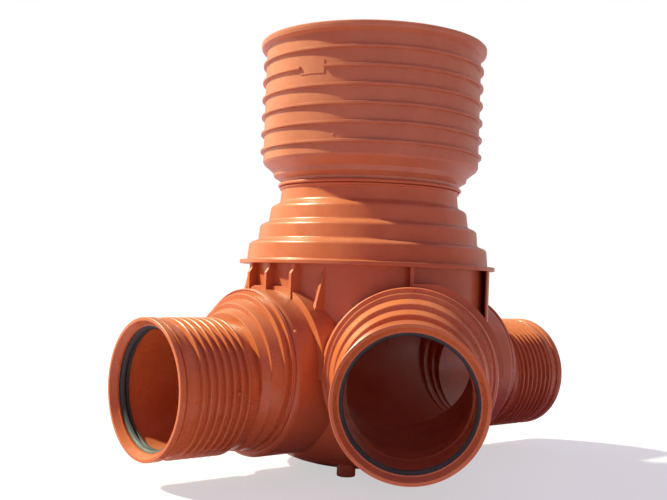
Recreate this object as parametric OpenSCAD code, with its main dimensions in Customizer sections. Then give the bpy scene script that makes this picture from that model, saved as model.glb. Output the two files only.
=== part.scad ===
// Drain inspection chamber: a welded polypropylene base with one outlet, two inlets
// and a ribbed riser socket. Millimetres, +Z up, origin on the chamber's axis at its underside.
// The main run lies along X: the left inlet looks along -X and the outlet along +X.

/* [Chamber base] */
// Outer diameter of the base wall
wall_od = 444; // [430:1:460]
// Thickness of the base wall
wall_t = 8; // [6:1:10]
// Height of the base's top face, where the stepped cone is welded on
base_top = 369; // [360:1:390]
// Height of the lowest point of the dished bottom above the floor
dish_clear = 3; // [2:0.5:6]
// Height of the dished bottom
dish_h = 112; // [90:1:130]
// Diameter of the flat in the middle of the dished bottom
dish_flat_d = 120; // [80:1:160]
// Height of the benching where it meets the wall
bench_z = 225; // [215:1:240]
// Fall of the benching towards the middle
bench_fall = 20; // [5:1:30]

/* [Branches] */
// Height of the main run's axis above the floor
main_z = 159; // [155:1:170]
// How much higher the side inlet sits than the main run
side_rise = 12; // [0:1:20]
// Angle between the left inlet and the side inlet
side_angle = 45; // [40:1:50]
// Sideways distance from the chamber's axis to the side inlet's axis
side_offset = 85; // [75:1:90]
// Outer diameter of the base's collars
collar_od = 287; // [280:1:292]
// Rise of the collars' centre above the pipe axis
collar_rise = 20; // [16:1:24]
// Distance from the chamber's axis to the weld between collar and reducer
weld_reach = 274; // [268:1:280]
// Thickness of the boss round a collar's root
boss_t = 12.5; // [8:0.5:14]
// Distance from the chamber's axis to the front of the boss
boss_reach = 230; // [226:1:236]
// How much the flat on top of the boss is cut down
boss_flat = 6; // [3:0.5:10]
// Height of a weld bead above the wall it stands on
bead_h = 3; // [2:0.5:4]
// Width of one weld bead
bead_w = 5; // [4:0.5:6]

/* [Gussets and feet] */
// Thickness of a gusset
gusset_t = 6; // [4:0.5:8]
// Spacing of the upright gussets over a collar
gusset_step = 60; // [50:1:64]
// Sideways place of the slanted outer gussets
outer_gusset = 105; // [100:1:112]
// Distance of the upright plate beside the side inlet from the chamber's axis
side_plate = 219; // [217:0.5:220]
// How far that plate stands out along the side inlet
side_plate_l = 92; // [80:1:94]
// Diameter of a foot
foot_d = 33; // [26:1:38]
// Distance of the feet from the chamber's axis
foot_reach = 134; // [120:1:150]
// Direction of the first foot
foot_angle = 217; // [200:1:230]

/* [Stepped reducer] */
// Outer diameter of the reducer's small end
small_od = 214; // [210:1:218]
// Wall thickness of the reducer's small end
small_t = 9; // [7:0.5:11]
// Outer diameter of the ring at the weld
weld_ring_od = 276.6; // [270:0.2:280]
// Rise of the weld ring's centre above the pipe axis
weld_ring_rise = 25; // [22:0.5:28]
// Length of the weld ring
weld_ring_l = 6; // [5:0.5:8]
// How much a sloping tread drops towards its front edge
tread_drop = 7; // [4:0.5:8]
// How much each step adds to the outer diameter
step_d = 16.6; // [14:0.2:18]
// Length of the small end
small_l = 19; // [16:1:24]
// Length of the first step
step1_l = 13; // [11:1:15]
// Length of the second step
step2_l = 18; // [15:1:20]
// Length of the third step
step3_l = 11; // [9:1:13]
// Rounding of a step's edge
step_round = 2; // [1:0.5:3]

/* [Pipe socket] */
// Outer diameter of the pipe that the sockets take
pipe_od = 200; // [198:0.5:201]
// Clearance round the pipe in a socket, on the diameter
pipe_clear = 1.2; // [0.8:0.1:2]
// Length of a socket from its seam to its mouth
socket_l = 132; // [126:1:150]
// Wall thickness of a socket between its ribs
socket_t = 7.4; // [6:0.2:9]
// Height of the ribs above the socket's wall
rib_h = 6.3; // [5:0.1:7]
// Width of a rib at its foot
rib_w = 7; // [5:0.5:8]
// Number of ribs behind the plain band
rib_count = 7; // [5:1:8]
// Width of the lip at the mouth across its face
lip_t = 5.5; // [4:0.5:7]
// Length of the lip
lip_l = 11; // [9:0.5:13]
// Depth of the entry chamfer
entry_l = 11; // [8:0.5:14]
// Depth of the seal groove below the bore
groove_h = 7.6; // [6:0.2:9]
// Length of the seal groove
groove_l = 14; // [12:0.5:16]
// Length of the plain band over the seal groove
band_l = 19; // [17:0.5:22]

/* [Stepped cone] */
// How far the flange stands out from the base wall
flange_out = 19; // [16:0.5:22]
// Thickness of the flange
flange_t = 7.5; // [6:0.5:9]
// How far the lowest tier's foot stands out from the base wall
tier_out_w = 4.5; // [3:0.5:8]
// How much narrower each tier is than the one below
tier_step = 37.5; // [36:0.5:39]
// Upright height of the lowest tier
tier_h = 32; // [30:0.5:34]
// Height from one tier to the next
tier_pitch = 34.5; // [33:0.5:36]
// How far the neck stands back from the top tier
neck_in = 22; // [18:0.5:25]
// Height of the weld between the cone and the riser socket
neck_z = 516; // [510:1:524]
// Wall thickness of the cone
cone_t = 7; // [5:0.5:8]

/* [Riser socket] */
// Outer diameter of the riser pipe that the socket takes
riser_od = 400; // [396:1:402]
// Clearance round the riser pipe, on the diameter
riser_clear = 2; // [1:0.1:3]
// Wall thickness of the riser socket
riser_t = 3.5; // [3:0.5:6]
// Height of the ring ribs above the wall
ring_h = 5.8; // [4:0.2:8]
// How far the rim stands out from the wall
rim_h = 10.5; // [9:0.5:13]
// Height of the socket's mouth above the floor
top_z = 788; // [780:1:810]
// Number of ring ribs
ring_count = 6; // [4:1:6]
// Spacing of the ring ribs
ring_step = 32.6; // [30:0.2:34]
// Height of the lowest ring rib above the floor
ring_z = 582; // [578:1:590]
// Height of the shoulder where the riser pipe stops
shoulder_z = 559.5; // [556:0.5:564]

/* [Hidden] */
$fn = 128;

plastic = "#cf6a43";
rubber = "#3a3a3c";

gap = 0.3;                                    // between a seal and its groove
wall_r = wall_od / 2;
cavity_r = wall_r - wall_t;
flange_r = wall_r + flange_out;
collar_r = collar_od / 2;
boss_r = collar_r + boss_t;
bench_flat_r = wall_r * 0.27;                 // level middle of the benching

// Branches, each [angle, sideways offset, height of its axis].
LEFT = [180, 0, main_z];
RIGHT = [0, 0, main_z];
FRONT = [180 + side_angle, side_offset, main_z + side_rise];

// Reducer: step k has this outer radius, and its lowest line all but keeps the small end's.
function step_r(k) = (small_od + k * step_d) / 2;
function step_rise(k) = k * (step_d / 2 - 0.4);
flow_r = small_od / 2 - small_t;              // bore of the small end
third_x = weld_reach + weld_ring_l + step3_l; // front of the third step
second_x = third_x + step2_l;
small_x = second_x + step1_l;                 // front of the first step
socket_x = small_x + small_l;                 // seam between reducer and pipe socket
channel_r = flow_r + step_rise(3);
channel_rise = step_rise(3);
reducer_t = 4;                                // wall of a step along the run

// Pipe socket, along its own axis from the chamber's axis.
bore_r = (pipe_od + pipe_clear) / 2;
socket_r = bore_r + socket_t;
rib_r = socket_r + rib_h;
groove_r = bore_r + groove_h;
mouth_reach = socket_x + socket_l;
stop_l = 6;                                   // ring that the pipe's end stops on
groove_x = mouth_reach - entry_l - 3 - groove_l;
band_x = groove_x + groove_l + 1;             // front of the plain band
first_rib_x = socket_x + 4;
rib_step = (band_x - band_l - first_rib_x) / (rib_count - 0.3);

// Riser socket.
riser_r = (riser_od + riser_clear) / 2;
riser_wall_r = riser_r + riser_t;
ring_r = riser_wall_r + ring_h;
rim_r = riser_wall_r + rim_h;
riser_groove_z = top_z - 11.5;
riser_groove_h = 7;
riser_groove_r = rim_r - 7;
tier_od = 2 * (wall_r + tier_out_w);          // foot of the lowest tier
neck_r = tier_od / 2 - tier_step - neck_in;

// Moves local X to the branch's axis, pointing outwards.
module on_branch(b) {
    translate([0, 0, b[2]]) rotate([0, 0, b[0]]) translate([0, b[1], 0]) children();
}

// Turns a profile of [radius, distance] points about local X.
module turned(points, rise = 0) {
    translate([0, 0, rise]) rotate([0, 90, 0]) rotate_extrude() polygon(points);
}

// Solid round bar along local X.
module bar(r, from, to, rise = 0) {
    translate([from, 0, rise]) rotate([0, 90, 0]) cylinder(r = r, h = to - from);
}

// ---- base ----

// Outline of the body: flat, quarter ellipse, upright wall.
function dish_points(n = 14) = let (flat = dish_flat_d / 2)
    [for (i = [0 : n]) let (a = 90 * i / n)
        [flat + (wall_r - flat) * sin(a), dish_clear + dish_h * (1 - cos(a))]];

module body_solid() {
    rotate_extrude() polygon(concat([[0, dish_clear]], dish_points(),
                                    [[wall_r, base_top], [0, base_top]]));
}

module collar(b) {
    end = weld_reach - gap / 2;
    on_branch(b) turned([[0, -40], [collar_r - 12, -40], [collar_r, 0], [collar_r, end - 8],
                         [collar_r - 1, end - 4], [collar_r - 3, end - 1.5], [collar_r - 6, end],
                         [0, end]], collar_rise);
}

// Thicker root of a collar, flat on top, between the sideways places from and to.
module boss(b, from, to) {
    top = collar_rise + boss_r - boss_flat;
    intersection() {
        on_branch(b) bar(boss_r, collar_r, boss_reach, collar_rise);
        on_branch(b) translate([0, from, collar_rise]) cube([boss_reach + 5, to - from, top - collar_rise]);
    }
}

// Gusset along the run at sideways place y, from the collar up to the flange.
module gusset(b, y, slanted = false) {
    x_wall = sqrt(pow(wall_r, 2) - pow(y, 2));
    x_out = sqrt(pow(flange_r - 1, 2) - pow(y, 2));
    low = collar_rise + sqrt(pow(collar_r, 2) - pow(y, 2)) - 6;
    high = base_top - b[2];
    outer = slanted
        ? [[x_wall - 1, high - 5], [x_wall + 24, low + 5]]
        : [[x_out - 6, high - 9], [x_out, high - 17]];
    points = concat([[x_wall - 30, high]], slanted ? [] : [[x_out - 6, high]],
                    outer, [[outer[1][0], low], [x_wall - 30, low]]);
    on_branch(b) translate([0, y + gusset_t / 2, 0]) rotate([90, 0, 0])
        linear_extrude(gusset_t) polygon(points);
}

module gussets() {
    for (b = [LEFT, RIGHT], i = [-1 : 1]) gusset(b, i * gusset_step);
    for (s = [-1, 1]) gusset(LEFT, s * outer_gusset, true);
    gusset(RIGHT, outer_gusset, true);
    gusset(RIGHT, -outer_gusset - 7);
}

// Plates that brace the side inlet's collar to the flange.
module side_plates() {
    high = base_top - FRONT[2];
    intersection() {
        on_branch(FRONT) {
            translate([0, -gusset_t / 2, collar_r]) cube([wall_r, gusset_t, high - collar_r]);
            translate([0, side_plate - side_offset, 50]) cube([side_plate_l, gusset_t, high - 50]);
        }
        cylinder(r = flange_r - 1, h = base_top);
    }
}

module feet() {
    for (i = [0 : 2]) rotate([0, 0, foot_angle + i * 120]) translate([foot_reach, 0, 0]) {
        cylinder(d1 = foot_d - 3, d2 = foot_d, h = 1.5);
        translate([0, 0, 1.5]) cylinder(d = foot_d, h = 50);
    }
}

// Channel along a branch, and the open slot above it inside the chamber.
module channel(b, from, to) {
    on_branch(b) bar(channel_r, from, to, channel_rise);
    intersection() {
        cylinder(r = cavity_r, h = bench_z + 12);
        on_branch(b) translate([from, 1 - channel_r, channel_rise])
            cube([to - from, 2 * channel_r - 2, base_top]);
    }
}

module base() color(plastic) difference() {
    difference() {
        union() {
            body_solid();
            for (b = [LEFT, FRONT, RIGHT]) collar(b);
            for (b = [LEFT, RIGHT]) boss(b, -boss_r, boss_r);
            boss(FRONT, 0, boss_r);
            gussets();
            side_plates();
            feet();
        }
        rotate_extrude() polygon([[0, bench_z - bench_fall], [bench_flat_r, bench_z - bench_fall],
            [cavity_r, bench_z], [cavity_r, base_top + 1], [0, base_top + 1]]);
        channel(RIGHT, -weld_reach - 1, weld_reach + 1);
    }
    channel(FRONT, -side_offset / 2, weld_reach + 1);
}

// ---- stepped cone ----

cone_foot = base_top + flange_t;
cone_draft = 1.5;
ledge_rise = 8;                               // how far a sloping ledge climbs

// Corner points of one tier's outside, from its foot up to its rounded shoulder.
function tier_foot(k) = k == 0 ? cone_foot : cone_foot + k * tier_pitch + tier_h - tier_pitch + ledge_rise - 2;
function tier_r(k) = (tier_od - k * tier_step) / 2;
function tier_out(k) = let (r = tier_r(k) - cone_draft - k, z = cone_foot + k * tier_pitch + tier_h)
    [[tier_r(k), tier_foot(k)], [r, z - 4], [r - 1.2, z - 1.2], [r - 4, z]];
function tier_in(k) = let (r = tier_r(k) - cone_t, z = cone_foot + k * tier_pitch + tier_h)
    [[r - cone_draft - k, z - cone_t], [r - cone_draft, tier_foot(k) - cone_t]];

module cone() color(plastic) {
    neck_foot = cone_foot + 2 * tier_pitch + tier_h + ledge_rise;
    weld_z = neck_z - gap / 2;
    outer = concat([[flange_r, base_top], [flange_r, cone_foot - 1.5], [flange_r - 1.5, cone_foot]],
        tier_out(0), tier_out(1), tier_out(2),
        [[neck_r + 2.5, neck_foot - 1], [neck_r, weld_z - bead_w - 3], [neck_r, weld_z - bead_w],
         [neck_r + bead_h + 3, weld_z - bead_w], [neck_r + bead_h + 3, weld_z]]);
    inner = concat([[neck_r - cone_t, weld_z], [neck_r - cone_t, neck_foot - 8]],
        tier_in(2), tier_in(1), [tier_in(0)[0]], [[tier_od / 2 - cone_t - cone_draft, base_top]]);
    rotate_extrude() polygon(concat(outer, inner));
}

// ---- riser socket ----

module riser_socket() color(plastic) {
    wall = riser_wall_r;
    bottom = neck_z + gap / 2;
    difference() {
        union() {
            rotate_extrude() polygon([[0, bottom], [neck_r + bead_h + 3, bottom],
                [neck_r + bead_h + 3, bottom + bead_w], [neck_r + 1, bottom + bead_w],
                [neck_r + 3, shoulder_z - 32], [neck_r + 15.5, shoulder_z - 24.5],
                [neck_r + 18, shoulder_z - 16], [wall - 3, shoulder_z - 2.5],
                [wall, shoulder_z + 2], [wall, top_z - 16], [rim_r - 7, top_z - 14],
                [rim_r - 1, top_z - 11], [rim_r, top_z - 6],
                [rim_r, top_z - 2], [rim_r - 2, top_z], [0, top_z]]);
            for (i = [0 : ring_count - 1]) ring_rib(ring_z + i * ring_step);
            marking_pad();
        }
        rotate_extrude() polygon([[0, bottom - 1], [neck_r - cone_t, bottom - 1],
            [neck_r - cone_t, shoulder_z - 22], [neck_r + 10, shoulder_z - 14],
            [riser_r - 8, shoulder_z], [riser_r, shoulder_z],
            [riser_r, riser_groove_z], [riser_groove_r, riser_groove_z],
            [riser_groove_r, riser_groove_z + riser_groove_h],
            [riser_r, riser_groove_z + riser_groove_h], [riser_r, top_z - 3],
            [riser_r + 3, top_z + 1], [0, top_z + 1]]);
        // the ribs stop short of the marking pad
        pad_gap();
    }
}

module ring_rib(z) {
    wall = riser_wall_r;
    rotate_extrude() polygon([[wall - 1, z - 3.6], [wall, z - 3.2], [ring_r - 0.6, z - 2.2],
        [ring_r, z - 1.6], [ring_r, z + 1.6], [ring_r - 0.6, z + 2.2],
        [wall, z + 3.2], [wall - 1, z + 3.6]]);
}

pad_angle = 195.7;
pad_w = 50;
pad_h = 24;
pad_t = 1.2;

// Bare pad between two ribs of the riser socket.
module marking_pad() {
    z = ring_z + (ring_count - 2) * ring_step;
    rotate([0, 0, pad_angle]) intersection() {
        translate([0, -pad_w / 2, z - pad_h / 2]) cube([rim_r, pad_w, pad_h]);
        cylinder(r = riser_wall_r + pad_t, h = top_z);
    }
}

module pad_gap() {
    z = ring_z + (ring_count - 2) * ring_step;
    rotate([0, 0, pad_angle]) difference() {
        translate([0, -pad_w / 2, z - pad_h / 2]) cube([rim_r, pad_w, pad_h]);
        translate([0, 0, z - pad_h]) cylinder(r = riser_wall_r + pad_t, h = 2 * pad_h);
    }
}

// Lip seal: a band in the groove, with two lips that come just short of the pipe's clearance.
module seal_ring(outer, bore, from, len) {
    lip = bore - 0.2;
    rotate_extrude() polygon([[outer - gap, from + gap], [outer - gap, from + len - gap],
        [bore + 3.2, from + len - gap], [lip, from + len * 0.8], [lip, from + len * 0.68],
        [bore + 2.6, from + len * 0.55], [lip, from + len * 0.36], [lip, from + len * 0.24],
        [bore + 3.2, from + gap]]);
}

module riser_seal() color(rubber)
    seal_ring(riser_groove_r, riser_r, riser_groove_z, riser_groove_h);

// ---- branches ----

// One eccentric step of the reducer: a tread that slopes down to a rounded front edge.
module step(k, from, to, drop) {
    r = step_r(k) - drop / 3;
    turned([[0, from], [r + drop, from], [r, to - step_round],
            [r - step_round * 0.3, to - step_round * 0.3], [r - step_round, to], [0, to]],
           step_rise(k) + drop / 3);
}

module reducer(b) color(plastic) on_branch(b) {
    start = weld_reach + gap / 2;
    ring = weld_ring_od / 2;
    difference() {
        union() {
            turned([[0, start], [ring - 1, start], [ring, start + 1], [ring, weld_reach + weld_ring_l - 1],
                    [ring - 1, weld_reach + weld_ring_l], [0, weld_reach + weld_ring_l]], weld_ring_rise);
            step(3, start, third_x, 0);
            step(2, third_x - 1, second_x, tread_drop);
            step(1, second_x - 1, small_x, tread_drop);
            bar(small_od / 2, start, socket_x - 0.15);
        }
        bar(flow_r, start - 1, socket_x + 1);
        bar(flow_r + step_rise(1), start - 1, small_x - reducer_t, step_rise(1));
        bar(flow_r + step_rise(2), start - 1, second_x - reducer_t, step_rise(2));
        bar(flow_r + step_rise(3), start - 1, third_x - reducer_t, step_rise(3));
    }
}

// Thin ring rib round a pipe socket, narrowing to its rounded crest.
module rib(x) {
    half = rib_w / 2;
    turned([[socket_r - 1, x - half], [socket_r, x - half], [rib_r - 1, x - half * 0.55],
            [rib_r, x - half * 0.3], [rib_r, x + half * 0.3], [rib_r - 1, x + half * 0.55],
            [socket_r, x + half], [socket_r - 1, x + half]]);
}

module pipe_socket(b) color(plastic) on_branch(b) {
    lip_x = mouth_reach - lip_l;
    difference() {
        union() {
            turned([[0, socket_x + 0.15], [socket_r, socket_x + 0.15], [socket_r, lip_x - 3],
                    [rib_r - 1, lip_x], [rib_r, lip_x + 2], [rib_r, mouth_reach - 1],
                    [rib_r - 1, mouth_reach], [0, mouth_reach]]);
            for (i = [0 : rib_count - 1]) rib(first_rib_x + i * rib_step);
            turned([[socket_r - 1, band_x - band_l], [rib_r - 3, band_x - band_l + 2.5],
                    [rib_r - 3, band_x - 3], [rib_r, band_x - 2], [rib_r, band_x],
                    [socket_r - 1, band_x + 3]]);
        }
        bar(flow_r, socket_x - 1, mouth_reach);
        bar(bore_r, socket_x + stop_l, mouth_reach + 1);
        bar(groove_r, groove_x, groove_x + groove_l);
        turned([[0, mouth_reach - entry_l], [bore_r + 2, mouth_reach - entry_l],
                [rib_r - lip_t, mouth_reach + 0.01], [0, mouth_reach + 0.01]]);
    }
}

module pipe_seal(b) color(rubber) on_branch(b) rotate([0, 90, 0])
    seal_ring(groove_r, bore_r, groove_x, groove_l);

base();
cone();
riser_socket();
riser_seal();
reducer(LEFT);  // left_reducer
pipe_socket(LEFT);  // left_socket
pipe_seal(LEFT);  // left_seal
reducer(FRONT);  // front_reducer
pipe_socket(FRONT);  // front_socket
pipe_seal(FRONT);  // front_seal
reducer(RIGHT);  // right_reducer
pipe_socket(RIGHT);  // right_socket
pipe_seal(RIGHT);  // right_seal
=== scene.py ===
# %% [markdown]
# # A drain inspection chamber, moulded and welded in polypropylene
# The chamber is a buried junction of drain pipes. Its solids come from the CAD model, which is loaded
# here as a fixed frame. Blender adds what a solid can't hold: the finish of the moulded plastic, the
# rippled weld beads, the soft lips of the seals, and the light.

# %% Load the CAD frame
import math

import bmesh
import bpy
from mathutils import Matrix, Vector


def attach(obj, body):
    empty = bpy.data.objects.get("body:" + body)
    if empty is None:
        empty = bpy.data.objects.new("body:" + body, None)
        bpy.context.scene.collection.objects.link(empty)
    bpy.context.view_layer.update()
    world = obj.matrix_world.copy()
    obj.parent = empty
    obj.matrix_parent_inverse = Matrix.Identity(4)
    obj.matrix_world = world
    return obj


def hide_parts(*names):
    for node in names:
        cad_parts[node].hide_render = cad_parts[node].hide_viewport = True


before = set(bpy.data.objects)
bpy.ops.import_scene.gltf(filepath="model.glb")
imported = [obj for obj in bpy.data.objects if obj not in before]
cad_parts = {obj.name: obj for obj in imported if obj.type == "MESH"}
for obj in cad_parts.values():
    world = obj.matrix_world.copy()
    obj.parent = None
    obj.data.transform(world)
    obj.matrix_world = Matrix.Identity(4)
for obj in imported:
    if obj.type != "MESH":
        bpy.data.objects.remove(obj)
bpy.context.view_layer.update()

MM = 0.001

# %% [markdown]
# ## Branches
# Three pipe sockets leave the chamber. Each one's local frame has X out along the pipe, with the pipe's
# axis at Y = Z = 0. A piece is drawn once in that frame and then laid on each branch, which keeps the
# three alike, as the moulded parts are.

# %% The branch frames
MAIN_Z = 159 * MM
SIDE_RISE = 12 * MM       # the side inlet sits this much higher
SIDE_OFFSET = 85 * MM     # and this far beside the chamber's axis
MOUTH_REACH = 473         # from the chamber's axis to each mouth, in millimetres
BRANCHES = {
    "left": (180.0, 0.0, MAIN_Z),
    "front": (225.0, SIDE_OFFSET, MAIN_Z + SIDE_RISE),
    "right": (0.0, 0.0, MAIN_Z),
}


def branch_matrix(name):
    angle, offset, height = BRANCHES[name]
    return (Matrix.Translation((0, 0, height)) @ Matrix.Rotation(math.radians(angle), 4, "Z")
            @ Matrix.Translation((0, offset, 0)))


for name in BRANCHES:
    mouth = branch_matrix(name) @ Vector((MOUTH_REACH * MM, 0, 0))
    print(name, "mouth at", tuple(round(c, 3) for c in mouth))

# %% [markdown]
# ## Camera
# The camera looks at the chamber from between the left inlet and the side inlet, a little below the middle
# of its height, through a short telephoto lens. It leans two degrees, so the riser tilts a little to the
# left.

# %% Camera
cam_data = bpy.data.cameras.new("camera")
cam_data.sensor_width = 36
cam_data.lens = 51.49
cam_data.clip_start, cam_data.clip_end = 0.05, 60
camera = bpy.data.objects.new("camera", cam_data)
bpy.context.scene.collection.objects.link(camera)
bpy.context.scene.camera = camera

CAM_PLACE = Vector((-1.2389, -1.3360, 0.338))
forward = Vector((0.65330, 0.75634, 0.03434)).normalized()
level = forward.cross(Vector((0, 0, 1))).normalized()
upright = level.cross(forward)
LEAN = math.radians(2.064)
cam_x = math.cos(LEAN) * level + math.sin(LEAN) * upright
cam_y = -math.sin(LEAN) * level + math.cos(LEAN) * upright
cam_turn = Matrix((cam_x, cam_y, -forward)).transposed().to_4x4()
camera.matrix_world = Matrix.Translation(CAM_PLACE) @ cam_turn
print("camera", tuple(round(c, 3) for c in camera.location))

# %% [markdown]
# ## Shader helpers
# A material is a small network. These helpers keep the cells short: one adds a node and sets its
# sockets, and one starts a node group with named inputs and outputs.

# %% Node helpers
def add(tree, kind, label="", **values):
    node = tree.nodes.new(kind)
    node.label = label
    for key, value in values.items():
        if hasattr(node, key):
            setattr(node, key, value)
        else:
            node.inputs[key.replace("_", " ")].default_value = value
    return node


def new_group(title, inputs, outputs, kind="ShaderNodeTree"):
    tree = bpy.data.node_groups.new(title, kind)
    for label, (socket, value) in inputs.items():
        item = tree.interface.new_socket(label, in_out="INPUT", socket_type=socket)
        if value is not None:
            item.default_value = value
    for label, socket in outputs.items():
        tree.interface.new_socket(label, in_out="OUTPUT", socket_type=socket)
    return tree, tree.nodes.new("NodeGroupInput"), tree.nodes.new("NodeGroupOutput")


def ramp(tree, source, stops):
    node = tree.nodes.new("ShaderNodeValToRGB")
    while len(node.color_ramp.elements) < len(stops):
        node.color_ramp.elements.new(0.5)
    for element, (place, grey) in zip(node.color_ramp.elements, stops):
        element.position = place
        element.color = (grey, grey, grey, 1)
    tree.links.new(source, node.inputs["Fac"])
    return node.outputs["Color"]


# %% [markdown]
# ## Moulding finish, as a shared group
# Injection moulded polypropylene is never one flat colour. The pigment streaks where the melt flowed,
# the skin has a very fine orange peel, and handling leaves pale rubs and a film of dust on what faces
# up. That pale film is partly painted light too: a paler, sunlit tone on the faces that the key light
# reaches from above. One group makes all of that from Object coordinates, and each material sets its own
# amounts.

# %% Moulding finish group, and its streaks of pigment
RUB_ROUGHNESS = 0.16      # what a rubbed spot adds to the roughness
DUST_ROUGHNESS = 0.5      # and what dust adds
SINK_DEPTH = 3.0          # sink marks against the orange peel's height of 1
# The Dust inputs lay a pale film on upward faces: part real dust, part painted sunlit tone.
finish, fin, fout = new_group(
    "moulded_finish",
    {"Colour": ("NodeSocketColor", (0.5, 0.2, 0.1, 1)),
     "Dust and sunlit colour": ("NodeSocketColor", (0.6, 0.5, 0.42, 1)),
     "Mottle": ("NodeSocketFloat", 0.12), "Dust": ("NodeSocketFloat", 0.1),
     "Roughness": ("NodeSocketFloat", 0.35), "Peel size": ("NodeSocketFloat", 260.0)},
    {"Colour": "NodeSocketColor", "Roughness": "NodeSocketFloat", "Height": "NodeSocketFloat"})
wire = finish.links.new
coords = add(finish, "ShaderNodeTexCoord")
flow = add(finish, "ShaderNodeTexNoise", "melt flow", Scale=5.5, Detail=5.0, Roughness=0.62, Distortion=0.7)
wire(coords.outputs["Object"], flow.inputs["Vector"])
flow_mask = ramp(finish, flow.outputs["Fac"], [(0.32, 0.0), (0.68, 1.0)])
darker = add(finish, "ShaderNodeHueSaturation", "deep pigment", Value=0.80, Saturation=1.06, Hue=0.494)
wire(fin.outputs["Colour"], darker.inputs["Color"])
amount = add(finish, "ShaderNodeMath", operation="MULTIPLY")
wire(flow_mask, amount.inputs[0])
wire(fin.outputs["Mottle"], amount.inputs[1])
tone = add(finish, "ShaderNodeMix", "pigment", data_type="RGBA")
wire(amount.outputs[0], tone.inputs["Factor"])
wire(fin.outputs["Colour"], tone.inputs[6])
wire(darker.outputs["Color"], tone.inputs[7])

# %% Dust on what faces up, partly a painted sunlit tone
geometry = add(finish, "ShaderNodeNewGeometry")
split = add(finish, "ShaderNodeSeparateXYZ")
wire(geometry.outputs["Normal"], split.inputs["Vector"])
up = ramp(finish, split.outputs["Z"], [(0.35, 0.0), (0.95, 1.0)])
specks = add(finish, "ShaderNodeTexNoise", "dust specks", Scale=38.0, Detail=6.0, Roughness=0.7)
wire(coords.outputs["Object"], specks.inputs["Vector"])
speck_mask = ramp(finish, specks.outputs["Fac"], [(0.38, 0.25), (0.66, 1.0)])
# Upward faces turn paler here: part dust, part painted sunlit tone where the key light falls.
dust_and_sunlit_mask = add(finish, "ShaderNodeMath", operation="MULTIPLY")
wire(up, dust_and_sunlit_mask.inputs[0])
wire(speck_mask, dust_and_sunlit_mask.inputs[1])
dust_and_sunlit = add(finish, "ShaderNodeMath", "dust amount", operation="MULTIPLY")
wire(dust_and_sunlit_mask.outputs[0], dust_and_sunlit.inputs[0])
wire(fin.outputs["Dust"], dust_and_sunlit.inputs[1])
dust_and_sunlit_film = add(finish, "ShaderNodeMix", "dust film", data_type="RGBA")
wire(dust_and_sunlit.outputs[0], dust_and_sunlit_film.inputs["Factor"])
wire(tone.outputs[2], dust_and_sunlit_film.inputs[6])
wire(fin.outputs["Dust and sunlit colour"], dust_and_sunlit_film.inputs[7])
wire(dust_and_sunlit_film.outputs[2], fout.inputs["Colour"])

# %% Rubs and chalky dust change the gloss
rubs = add(finish, "ShaderNodeTexNoise", "rubs", Scale=17.0, Detail=8.0, Roughness=0.75, Distortion=1.4)
wire(coords.outputs["Object"], rubs.inputs["Vector"])
rub_mask = ramp(finish, rubs.outputs["Fac"], [(0.45, 0.0), (0.75, 1.0)])
rougher = add(finish, "ShaderNodeMath", "rub roughness", operation="MULTIPLY_ADD")
rougher.inputs[1].default_value = RUB_ROUGHNESS
wire(rub_mask, rougher.inputs[0])
wire(fin.outputs["Roughness"], rougher.inputs[2])
chalky = add(finish, "ShaderNodeMath", "dust roughness", operation="MULTIPLY_ADD", use_clamp=True)
chalky.inputs[1].default_value = DUST_ROUGHNESS
wire(dust_and_sunlit.outputs[0], chalky.inputs[0])
wire(rougher.outputs[0], chalky.inputs[2])
wire(chalky.outputs[0], fout.inputs["Roughness"])

# %% Orange peel and sink marks
peel = add(finish, "ShaderNodeTexNoise", "orange peel", Detail=2.0)
wire(coords.outputs["Object"], peel.inputs["Vector"])
wire(fin.outputs["Peel size"], peel.inputs["Scale"])
ripple = add(finish, "ShaderNodeTexNoise", "sink marks", Scale=21.0, Detail=2.0)
wire(coords.outputs["Object"], ripple.inputs["Vector"])
height = add(finish, "ShaderNodeMath", "height", operation="MULTIPLY_ADD")
height.inputs[1].default_value = SINK_DEPTH
wire(ripple.outputs["Fac"], height.inputs[0])
wire(peel.outputs["Fac"], height.inputs[2])
wire(height.outputs[0], fout.inputs["Height"])
print("finish group:", len(finish.nodes), "nodes")


# %% [markdown]
# ## Materials
# Sewer parts are pigmented orange-brown all through, and their seals are black to grey rubber. A
# constant, such as the gloss level, sits on the shader's own socket, and only what changes over the
# surface comes from the group.

# %% Build the materials
# The pale dust colour also stands for a painted sunlit tone on the plastic's upward faces.
PALE_DUST_AND_SUNLIT = (0.62, 0.50, 0.42, 1)
GREY_DUST = (0.30, 0.28, 0.26, 1)
PEEL_HEIGHT = 0.0004      # metres
PLASTIC_IOR = 1.49


def moulded(title, colour, roughness, mottle, dust_and_sunlit, bump, peel_size=260.0, dust_and_sunlit_colour=PALE_DUST_AND_SUNLIT):
    material = bpy.data.materials.new(title)
    material.use_nodes = True
    tree = material.node_tree
    shader = tree.nodes["Principled BSDF"]
    shader.inputs["Specular IOR Level"].default_value = 0.5
    shader.inputs["IOR"].default_value = PLASTIC_IOR
    group = add(tree, "ShaderNodeGroup")
    group.node_tree = finish
    values = {"Colour": (*colour, 1), "Dust and sunlit colour": dust_and_sunlit_colour, "Mottle": mottle, "Dust": dust_and_sunlit,
              "Roughness": roughness, "Peel size": peel_size}
    for key, value in values.items():
        group.inputs[key].default_value = value
    bump_node = add(tree, "ShaderNodeBump", Strength=bump, Distance=PEEL_HEIGHT)
    tree.links.new(group.outputs["Height"], bump_node.inputs["Height"])
    tree.links.new(bump_node.outputs["Normal"], shader.inputs["Normal"])
    tree.links.new(group.outputs["Colour"], shader.inputs["Base Color"])
    tree.links.new(group.outputs["Roughness"], shader.inputs["Roughness"])
    return material


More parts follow.
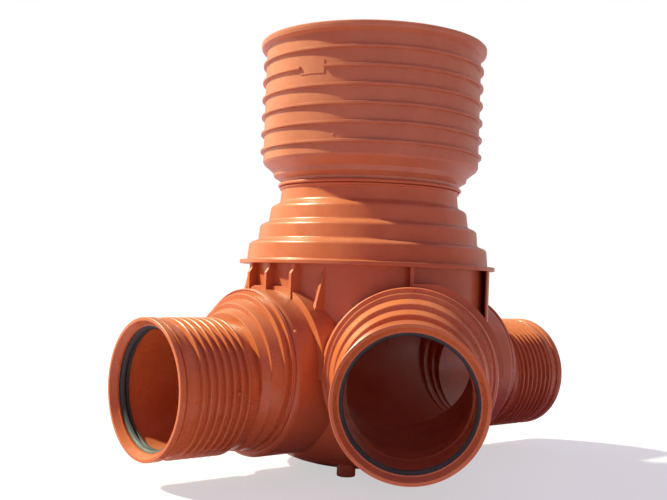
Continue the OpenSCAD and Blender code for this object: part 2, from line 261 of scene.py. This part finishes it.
shell_plastic = moulded("shell_plastic", (0.58, 0.158, 0.058), 0.31, 0.9, 0.14, 0.35)
socket_plastic = moulded("socket_plastic", (0.60, 0.165, 0.058), 0.27, 0.8, 0.12, 0.30)
riser_plastic = moulded("riser_plastic", (0.58, 0.200, 0.095), 0.35, 0.9, 0.18, 0.35)
weld_plastic = moulded("weld_plastic", (0.60, 0.155, 0.058), 0.36, 0.6, 0.12, 0.5)
seal_rubber = moulded("seal_rubber", (0.030, 0.030, 0.031), 0.52, 0.5, 0.22, 0.4, 420.0, GREY_DUST)


def material_of(name):
    """The material of a CAD node, by what it is."""
    if name.endswith("seal"):
        return seal_rubber
    if name.startswith(("riser", "cone")):
        return riser_plastic
    return shell_plastic if name == "base" else socket_plastic


for name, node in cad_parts.items():
    node.data.materials.clear()
    node.data.materials.append(material_of(name))
print("materials on", len(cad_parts), "CAD nodes")

# %% [markdown]
# ## Turned pieces
# Seals, the stepped cone and the small moulding marks are turned: one outline swept round an axis. Blender
# has a Screw modifier for that, but a few lines of mesh code give closed rings with no seam, and let the
# outline breathe a little round the ring, as soft rubber does.

# %% Lathe helpers
EDGE_SHARE = 0.45         # the most of an edge that one rounding may take
SHARP_ANGLE = math.radians(38)


def rounded(corners, steps=4):
    """An outline of (along, radius, rounding) corners, each rounding drawn as a short curve."""
    outline = []
    count = len(corners)
    for k, (x, r, size) in enumerate(corners):
        here = Vector((x, r))
        before = Vector(corners[k - 1][:2]) - here
        after = Vector(corners[(k + 1) % count][:2]) - here
        reach = min(size, before.length * EDGE_SHARE, after.length * EDGE_SHARE)
        start, end = here + before.normalized() * reach, here + after.normalized() * reach
        for step in range(steps + 1):
            t = step / steps
            outline.append(start * (1 - t) ** 2 + here * 2 * t * (1 - t) + end * t * t)
    return outline


def turn(title, outline, place, segments, breathe=None):
    """Sweeps a closed outline of (along, radius) in millimetres round local X and lays it with place."""
    bm = bmesh.new()
    rings = []
    for k in range(segments):
        angle = 2 * math.pi * k / segments
        ring = []
        for x, r in outline:
            if breathe:
                r += breathe(x, r, angle)
            out = r * MM
            point = Vector((x * MM, out * math.cos(angle), out * math.sin(angle)))
            ring.append(bm.verts.new(place @ point))
        rings.append(ring)
    for ring, following in zip(rings, rings[1:] + rings[:1]):
        for a, b, c, d in zip(ring, ring[1:] + ring[:1], following[1:] + following[:1], following):
            bm.faces.new((a, b, c, d))
    bmesh.ops.remove_doubles(bm, verts=bm.verts, dist=1e-7)
    bmesh.ops.recalc_face_normals(bm, faces=bm.faces)
    return finish_piece(title, bm)


def finish_piece(title, bm):
    """Makes a smooth-shaded object of a mesh under work, with its real edges kept sharp."""
    for face in bm.faces:
        face.smooth = True
    mesh = bpy.data.meshes.new(title)
    bm.to_mesh(mesh)
    bm.free()
    mesh.set_sharp_from_angle(angle=SHARP_ANGLE)
    obj = bpy.data.objects.new(title, mesh)
    bpy.context.scene.collection.objects.link(obj)
    return obj


def settle(obj, material, slot, *nodes):
    """Gives a piece its material and its body, and hides the CAD nodes it stands for. Its slot is not used.
    """
    obj.data.materials.clear()
    obj.data.materials.append(material)
    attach(obj, "root")
    if nodes:
        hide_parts(*nodes)
    print(obj.name, len(obj.data.polygons), "faces")


UP_AXIS = Matrix.Rotation(math.radians(-90), 4, "Y")    # lays local X upwards
PIPE_SEGMENTS = 192
RISER_SEGMENTS = 256

# %% [markdown]
# ## Lip seals
# Each socket has a rubber ring in a groove behind its mouth. Its two lips lean inwards and stand free of
# the bore until a pipe is pushed in and presses them back. The CAD ring is drawn pressed back, so these
# rings stand for it. The outline is smoothed, and the lips wander by a fraction of a millimetre.

# %% Lip seals
LIP_FADE = 4              # millimetres inside the bore where a lip gets all its freedom


def lip_wander(strength, bore):
    """How far a lip strays in radius; what sits in the groove stays put."""
    def breathe(x, r, angle):
        free = max(0.0, min(1.0, (bore - r) / LIP_FADE))
        waves = math.sin(3 * angle + x) + 0.6 * math.sin(7 * angle + 1.3) + 0.4 * math.sin(17 * angle)
        return strength * free * waves
    return breathe


PIPE_BORE = 100.6
RISER_BORE = 201.0
PIPE_SEAL = rounded([
    (445.4, 107.8, 0.5), (445.4, 101.6, 0.6), (444.6, 99.0, 1.0), (443.0, 97.0, 0.9), (443.6, 96.2, 0.7),
    (446.6, 96.9, 1.5), (449.2, 100.6, 1.5), (450.6, 101.2, 1.2), (451.6, 98.6, 1.2), (450.4, 95.9, 0.9),
    (451.4, 94.9, 0.8), (455.0, 96.4, 2.0), (457.9, 100.4, 2.0), (458.6, 103.4, 1.2), (458.6, 107.8, 0.5)])
for name in BRANCHES:
    wander = lip_wander(0.16, PIPE_BORE)
    seal = turn(f"{name}_lip_seal", PIPE_SEAL, branch_matrix(name), PIPE_SEGMENTS, wander)
    settle(seal, seal_rubber, f"{name}_seal", f"{name}_seal")

RISER_SEAL = rounded([
    (776.9, 207.6, 0.4), (776.9, 201.4, 0.5), (775.4, 199.2, 0.8), (773.6, 197.6, 0.7), (774.4, 196.8, 0.6),
    (777.6, 197.6, 1.2), (779.6, 200.4, 1.2), (781.0, 197.4, 1.0), (782.0, 196.6, 0.6), (783.0, 199.6, 1.0),
    (783.1, 207.6, 0.4)])
seal = turn("riser_lip_seal", RISER_SEAL, UP_AXIS, RISER_SEGMENTS, lip_wander(0.2, RISER_BORE))
settle(seal, seal_rubber, "riser_seal", "riser_seal")

# %% [markdown]
# ## Stepped cone
# The cone is moulded in one shot, so every shoulder is rounded where the mould was, and those soft
# shoulders are what catches the light. The CAD cone's outline is turned again with a real radius at each
# corner. Its plain weld band is left to the rolls below.

# %% Stepped cone
CONE = rounded([
    (369.0, 241.0, 0.8), (376.5, 241.0, 2.2), (376.6, 227.5, 3.0), (408.4, 224.6, 5.5), (414.6, 207.9, 3.5),
    (442.9, 204.9, 5.5), (449.1, 189.2, 3.5), (477.4, 185.2, 5.5), (485.2, 169.4, 5.0), (509.4, 167.0, 1.5),
    (511.4, 169.4, 1.6), (514.6, 169.4, 1.6), (515.8, 167.4, 0.5),
    # and down again on the inside
    (515.8, 160.0, 0.5), (477.5, 160.0, 4.0), (470.5, 178.5, 3.0), (442.0, 180.5, 3.0), (436.0, 198.2, 3.0),
    (407.5, 199.2, 3.0), (401.5, 218.0, 3.0), (369.0, 218.0, 0.8)], 5)
cone = turn("stepped_cone", CONE, UP_AXIS, RISER_SEGMENTS)
settle(cone, shell_plastic, "cone", "cone")

# %% [markdown]
# ## Weld rolls
# The parts are welded end to end on hot plates, and the molten plastic curls out in a pair of rolls
# round each joint. A roll follows a circle and swells and shrinks a little as it goes, which is a rule, so
# Geometry Nodes draws it: a circle, a noise on its thickness, and a small round section swept along it.

# %% The weld roll tree
roll_tree, rin, rout = new_group(
    "weld_roll",
    {"Ring radius": ("NodeSocketFloat", 0.1), "Roll radius": ("NodeSocketFloat", 0.003),
     "Unevenness": ("NodeSocketFloat", 0.3), "Lumps per metre": ("NodeSocketFloat", 30.0),
     "Seed": ("NodeSocketFloat", 1.0), "Plastic": ("NodeSocketMaterial", None)},
    {"Geometry": "NodeSocketGeometry"}, "GeometryNodeTree")
join = roll_tree.links.new
circle = roll_tree.nodes.new("GeometryNodeCurvePrimitiveCircle")
circle.inputs["Resolution"].default_value = 260
join(rin.outputs["Ring radius"], circle.inputs["Radius"])
section = roll_tree.nodes.new("GeometryNodeCurvePrimitiveCircle")
section.inputs["Resolution"].default_value = 12
section.inputs["Radius"].default_value = 1.0

# %% The roll's thickness: its radius times one plus or minus a share of noise
lumps = add(roll_tree, "ShaderNodeTexNoise", "lumps", noise_dimensions="4D", Detail=2.0)
join(rin.outputs["Lumps per metre"], lumps.inputs["Scale"])
join(rin.outputs["Seed"], lumps.inputs["W"])
centred = add(roll_tree, "ShaderNodeMath", "lumps about nought", operation="SUBTRACT")
centred.inputs[1].default_value = 0.5
join(lumps.outputs["Fac"], centred.inputs[0])
swell = add(roll_tree, "ShaderNodeMath", "swelling", operation="MULTIPLY_ADD")
swell.inputs[2].default_value = 1.0
join(centred.outputs[0], swell.inputs[0])
join(rin.outputs["Unevenness"], swell.inputs[1])
thick = add(roll_tree, "ShaderNodeMath", "thickness", operation="MULTIPLY")
join(swell.outputs[0], thick.inputs[0])
join(rin.outputs["Roll radius"], thick.inputs[1])

# %% Sweep, realize and paint
sweep = roll_tree.nodes.new("GeometryNodeCurveToMesh")
realize = roll_tree.nodes.new("GeometryNodeRealizeInstances")
paint = roll_tree.nodes.new("GeometryNodeSetMaterial")
join(circle.outputs["Curve"], sweep.inputs["Curve"])
join(section.outputs["Curve"], sweep.inputs["Profile Curve"])
join(thick.outputs[0], sweep.inputs["Scale"])
join(sweep.outputs["Mesh"], realize.inputs["Geometry"])
join(realize.outputs["Geometry"], paint.inputs["Geometry"])
join(rin.outputs["Plastic"], paint.inputs["Material"])
join(paint.outputs["Geometry"], rout.inputs["Geometry"])
print("weld roll tree:", len(roll_tree.nodes), "nodes")


# %% Weld rolls round every joint
LUMPS_PER_METRE = 38.0


def weld_roll(ring, roll, place, uneven, seed):
    """The mesh of one roll: its ring and its own radius in millimetres, laid with place."""
    carrier = bpy.data.objects.new("carrier", bpy.data.meshes.new("carrier"))
    bpy.context.scene.collection.objects.link(carrier)
    modifier = carrier.modifiers.new("roll", "NODES")
    modifier.node_group = roll_tree
    values = {"Ring radius": ring * MM, "Roll radius": roll * MM, "Unevenness": uneven,
              "Lumps per metre": LUMPS_PER_METRE, "Seed": seed, "Plastic": weld_plastic}
    for item in roll_tree.interface.items_tree:
        if item.item_type == "SOCKET" and item.in_out == "INPUT":
            modifier[item.identifier] = values[item.name]
    shown = carrier.evaluated_get(bpy.context.evaluated_depsgraph_get())
    mesh = bpy.data.meshes.new_from_object(shown)
    bpy.data.objects.remove(carrier)
    mesh.transform(place)
    return mesh


def weld(title, slot, rolls):
    """Joins the rolls of one joint in one piece."""
    bm = bmesh.new()
    for ring, roll, place, uneven, seed in rolls:
        bm.from_mesh(weld_roll(ring, roll, place, uneven, seed))
    bmesh.ops.remove_doubles(bm, verts=bm.verts, dist=1e-6)
    bmesh.ops.recalc_face_normals(bm, faces=bm.faces)
    settle(finish_piece(title, bm), weld_plastic, slot)


def across(name, reach, rise=0.0):
    """A circle's place: round the run of a branch, at that reach, lifted by rise."""
    stand_up = Matrix.Rotation(math.radians(90), 4, "Y")
    return branch_matrix(name) @ Matrix.Translation((reach * MM, 0, rise * MM)) @ stand_up


def level_at(height):
    return Matrix.Translation((0, 0, height * MM))


# Each roll: radius of its ring, its own radius, its place, unevenness and seed.
COLLAR_RISE = 25          # the weld ring's centre above the pipe's axis
weld("neck_weld", "riser_socket", [
    (171.4, 2.9, level_at(518.4), 0.5, 1.0),
    (168.3, 2.3, level_at(512.9), 0.5, 4.0)])
for seed, name in enumerate(BRANCHES):
    weld(f"{name}_collar_weld", f"{name}_reducer", [
        (137.3, 1.9, across(name, 276.0, COLLAR_RISE), 0.7, 7.0 + seed),
        (137.0, 1.6, across(name, 279.6, COLLAR_RISE), 0.7, 11.0 + seed)])
    weld(f"{name}_seam_weld", f"{name}_socket", [
        (107.3, 1.7, across(name, 339.8), 0.6, 15.0 + seed),
        (107.6, 1.5, across(name, 342.6), 0.6, 19.0 + seed)])

# %% [markdown]
# ## Moulding marks
# A gate pip stays where plastic entered each mould, and a bead is left where a weld was touched up. They
# are small domes with their foot sunk in the wall, laid along the wall's own outward direction.

# %% Moulding marks
MARK_SEGMENTS = 24
SUNK = 0.8                # how deep a mark's foot sits in the wall


def mark(title, slot, material, point, outward, radius, height):
    """A small dome at a point of the wall, in millimetres."""
    facing = Vector(outward).normalized().to_track_quat("X", "Z").to_matrix().to_4x4()
    place = Matrix.Translation(Vector(point) * MM) @ facing
    dome = [(-SUNK, 0.0), (-SUNK, radius), (0.0, radius), (0.5 * height, 0.85 * radius),
            (0.85 * height, 0.5 * radius), (height, 0.0)]
    settle(turn(title, dome, place, MARK_SEGMENTS), material, slot)


PIP_ON_RISER = (-179.7, -97.5, 593.1)
mark("riser_pip", "riser_socket", riser_plastic, PIP_ON_RISER, (*PIP_ON_RISER[:2], 0), 2.4, 1.3)
mark("left_socket_pip", "left_socket", socket_plastic, (-366.0, -114.3, 159.5), (0, -1, 0), 2.6, 1.4)
mark("left_collar_bead", "left_reducer", weld_plastic,
     (-263.9, -121.2, 255.8), (0, -121.2, 76.8), 4.2, 2.6)
mark("right_collar_bead", "right_reducer", weld_plastic,
     (240.0, -143.2, 188.6), (0, -143.2, 9.6), 4.2, 2.6)

# %% [markdown]
# ## Floor, sky and lamps
# A plain pale floor and a white surround, seen as white by the camera only. The key light comes from the
# viewer's left at about 42 degrees of height and puts the bright crescents on the ribs. Two soft panels
# stand beyond the object, left and right, and lift its edges, and a cool surround fills the shade. The key
# is stronger than a plain one, so colours that face it render brighter than they are written.

# %% Floor
FLOOR_HALF = 30           # metres
FLOOR_TO_OBJECT = (0.58, 0.46, 0.60, 1)     # what the floor throws back on the object
FLOOR_TO_CAMERA = (0.80, 0.79, 0.86, 1)
SHADOW_LIFT = 0.55        # share of white laid over the floor, so that its shadow stays soft
bm = bmesh.new()
bmesh.ops.create_grid(bm, x_segments=1, y_segments=1, size=FLOOR_HALF)
floor_mesh = bpy.data.meshes.new("floor")
bm.to_mesh(floor_mesh)
bm.free()
floor = bpy.data.objects.new("floor", floor_mesh)
bpy.context.scene.collection.objects.link(floor)
floor_mat = bpy.data.materials.new("floor")
floor_mat.use_nodes = True
tree = floor_mat.node_tree
matt = tree.nodes["Principled BSDF"]
matt.inputs["Roughness"].default_value = 0.9
matt.inputs["Specular IOR Level"].default_value = 0.1
path = add(tree, "ShaderNodeLightPath")
pick = add(tree, "ShaderNodeMix", "white to the camera", data_type="RGBA")
pick.inputs[6].default_value = FLOOR_TO_OBJECT
pick.inputs[7].default_value = FLOOR_TO_CAMERA
tree.links.new(path.outputs["Is Camera Ray"], pick.inputs["Factor"])
tree.links.new(pick.outputs[2], matt.inputs["Base Color"])
glow = add(tree, "ShaderNodeEmission", Strength=1.0)
veil = add(tree, "ShaderNodeMath", "share of the shadow lifted", operation="MULTIPLY")
veil.inputs[1].default_value = SHADOW_LIFT
tree.links.new(path.outputs["Is Camera Ray"], veil.inputs[0])
lift = add(tree, "ShaderNodeMixShader")
tree.links.new(veil.outputs[0], lift.inputs["Fac"])
tree.links.new(matt.outputs[0], lift.inputs[1])
tree.links.new(glow.outputs[0], lift.inputs[2])
tree.links.new(lift.outputs[0], tree.nodes["Material Output"].inputs["Surface"])
floor_mesh.materials.append(floor_mat)
print("floor", 2 * FLOOR_HALF, "metres across")

# %% World: white to the camera, a dimmer cool sky to the object
SKY_LEVEL = 0.30
GLOSS_EXTRA = 0.10        # how much brighter the sky is in a reflection
SKY_TINT = (1.08, 0.70, 1.3, 1)
WHITE = (1, 1, 1, 1)
world = bpy.data.worlds.new("world")
bpy.context.scene.world = world
world.use_nodes = True
tree = world.node_tree
background = tree.nodes["Background"]
path = add(tree, "ShaderNodeLightPath")
seen = add(tree, "ShaderNodeMath", "seen directly", operation="MAXIMUM")
tree.links.new(path.outputs["Is Camera Ray"], seen.inputs[0])
tree.links.new(path.outputs["Is Transmission Ray"], seen.inputs[1])
sheen = add(tree, "ShaderNodeMath", "seen in gloss", operation="MULTIPLY_ADD")
sheen.inputs[1].default_value = GLOSS_EXTRA
sheen.inputs[2].default_value = SKY_LEVEL
tree.links.new(path.outputs["Is Glossy Ray"], sheen.inputs[0])
strength = add(tree, "ShaderNodeMath", "sky level", operation="MAXIMUM")
tree.links.new(seen.outputs[0], strength.inputs[0])
tree.links.new(sheen.outputs[0], strength.inputs[1])
tree.links.new(strength.outputs[0], background.inputs["Strength"])
plain = add(tree, "ShaderNodeMath", "seen untinted", operation="MAXIMUM")
tree.links.new(seen.outputs[0], plain.inputs[0])
tree.links.new(path.outputs["Is Glossy Ray"], plain.inputs[1])
tint = add(tree, "ShaderNodeMix", "sky tint", data_type="RGBA")
tint.inputs[6].default_value = SKY_TINT
tint.inputs[7].default_value = WHITE
tree.links.new(plain.outputs[0], tint.inputs["Factor"])
tree.links.new(tint.outputs[2], background.inputs["Color"])
print("sky level", SKY_LEVEL)

# %% Lamps
AIM = Vector((0, 0, 0.35))


def lamp(title, kind, energy, towards, size, distance, colour):
    """A lamp that faces the object; its size is degrees for a sun and metres for a panel."""
    data = bpy.data.lights.new(title, kind)
    data.energy = energy
    data.color = colour
    obj = bpy.data.objects.new(title, data)
    bpy.context.scene.collection.objects.link(obj)
    towards = Vector(towards).normalized()
    if kind == "SUN":
        data.angle = math.radians(size)
    else:
        data.shape = "DISK"
        data.size = size
    obj.location = AIM + towards * distance
    obj.rotation_mode = "QUATERNION"
    obj.rotation_quaternion = towards.to_track_quat("Z", "Y")
    print(title, kind.lower(), energy)


def from_camera(left, beyond, height):
    """A direction as the viewer has it: to the left, beyond the object and up."""
    flat = Vector((forward.x, forward.y, 0)).normalized()
    return -level * left + flat * beyond + Vector((0, 0, height))


lamp("key", "SUN", 6.2, from_camera(0.736, 0.103, 0.669), 3.0, 4.0, (1.0, 1.10, 0.76))
lamp("side_panel", "AREA", 21.0, from_camera(0.80, 0.52, 0.30), 3.0, 3.0, (1.0, 0.90, 0.64))
lamp("right_panel", "AREA", 6.0, from_camera(-0.70, 0.60, 0.35), 3.0, 3.0, (1.0, 0.85, 0.75))
bpy.context.scene.view_settings.view_transform = "Standard"

# %% [markdown]
